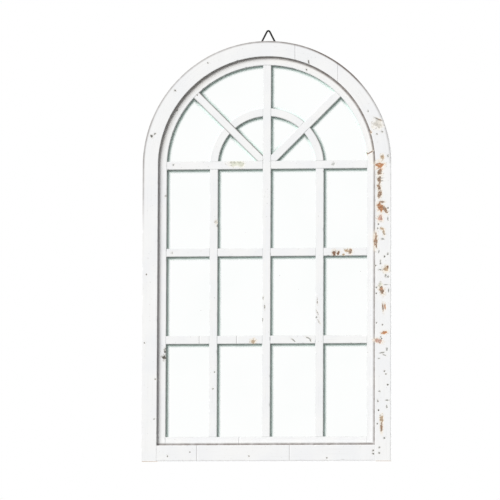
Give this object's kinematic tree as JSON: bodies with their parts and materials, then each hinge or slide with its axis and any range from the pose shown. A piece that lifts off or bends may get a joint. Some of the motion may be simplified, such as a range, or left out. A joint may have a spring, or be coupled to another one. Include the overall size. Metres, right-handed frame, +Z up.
{
  "type": "arched wall mirror",
  "caption": "Wall mirror with a half-round top, a white distressed wooden frame, a recessed window grille with a fan light over one mirror sheet, and a wire loop to hang it.",
  "frame": {"origin": "middle of the frame's bottom face", "axes": "+X to the right as seen from the front, +Y to the wall, +Z up"},
  "size_m": [0.61, 0.037, 1.0618],
  "materials": {
    "white_paint": "white paint, worn",
    "dowel_wood": "bare",
    "mirror": "silvered",
    "hardboard": "hardboard",
    "zinc_steel": "zinc plated",
    "dark_steel": "blackened",
    "rubber": "matte"
  },
  "bodies": {
    "mirror": {"left_stile": "white_paint", "right_stile": "white_paint", "bottom_rail": "white_paint", "arch_left": "white_paint", "arch_crown": "white_paint", "arch_right": "white_paint", "sash_left_stile": "white_paint", "sash_right_stile": "white_paint", "sash_bottom_rail": "white_paint", "sash_arch_left": "white_paint", "sash_arch_crown": "white_paint", "sash_arch_right": "white_paint", "left_mullion": "white_paint", "center_mullion": "white_paint", "right_mullion": "white_paint", "transom_bar": "white_paint", "upper_bar": "white_paint", "lower_bar": "white_paint", "fan_arch": "white_paint", "left_spoke": "white_paint", "right_spoke": "white_paint", "frame_dowels": "dowel_wood", "sash_dowels": "dowel_wood", "mirror_glass": "mirror", "backing_board": "hardboard", "button_screws": "zinc_steel", "hanger_screws": "dark_steel", "hanger_strap": "dark_steel", "wall_bumpers": "rubber"},
    "rail_button_left": {"rail_button_left": "zinc_steel"},
    "rail_button_right": {"rail_button_right": "zinc_steel"},
    "stile_button_left_low": {"stile_button_left_low": "zinc_steel"},
    "stile_button_left_high": {"stile_button_left_high": "zinc_steel"},
    "stile_button_right_low": {"stile_button_right_low": "zinc_steel"},
    "stile_button_right_high": {"stile_button_right_high": "zinc_steel"},
    "arch_button_left": {"arch_button_left": "zinc_steel"},
    "arch_button_right": {"arch_button_right": "zinc_steel"},
    "hanger_ring": {"hanger_ring": "dark_steel"}
  },
  "joints": [
    {"name": "hanger_ring_hinge", "type": "hinge", "parent": "mirror", "child": "hanger_ring", "pos_m": [0, 0.01848, 1.02], "axis": [-1, 0, 0], "range_deg": [-5, 180]},
    {"name": "rail_button_left_pivot", "type": "hinge", "parent": "mirror", "child": "rail_button_left", "pos_m": [-0.15, 0.015, 0.014], "axis": [0, 1, 0], "continuous": true},
    {"name": "rail_button_right_pivot", "type": "hinge", "parent": "mirror", "child": "rail_button_right", "pos_m": [0.15, 0.015, 0.014], "axis": [0, 1, 0], "continuous": true},
    {"name": "stile_button_left_low_pivot", "type": "hinge", "parent": "mirror", "child": "stile_button_left_low", "pos_m": [-0.291, 0.015, 0.19], "axis": [0, 1, 0], "continuous": true},
    {"name": "stile_button_left_high_pivot", "type": "hinge", "parent": "mirror", "child": "stile_button_left_high", "pos_m": [-0.291, 0.015, 0.56], "axis": [0, 1, 0], "continuous": true},
    {"name": "stile_button_right_low_pivot", "type": "hinge", "parent": "mirror", "child": "stile_button_right_low", "pos_m": [0.291, 0.015, 0.19], "axis": [0, 1, 0], "continuous": true},
    {"name": "stile_button_right_high_pivot", "type": "hinge", "parent": "mirror", "child": "stile_button_right_high", "pos_m": [0.291, 0.015, 0.56], "axis": [0, 1, 0], "continuous": true},
    {"name": "arch_button_left_pivot", "type": "hinge", "parent": "mirror", "child": "arch_button_left", "pos_m": [-0.20577, 0.015, 0.93077], "axis": [0, 1, 0], "continuous": true},
    {"name": "arch_button_right_pivot", "type": "hinge", "parent": "mirror", "child": "arch_button_right", "pos_m": [0.20577, 0.015, 0.93077], "axis": [0, 1, 0], "continuous": true}
  ]
}
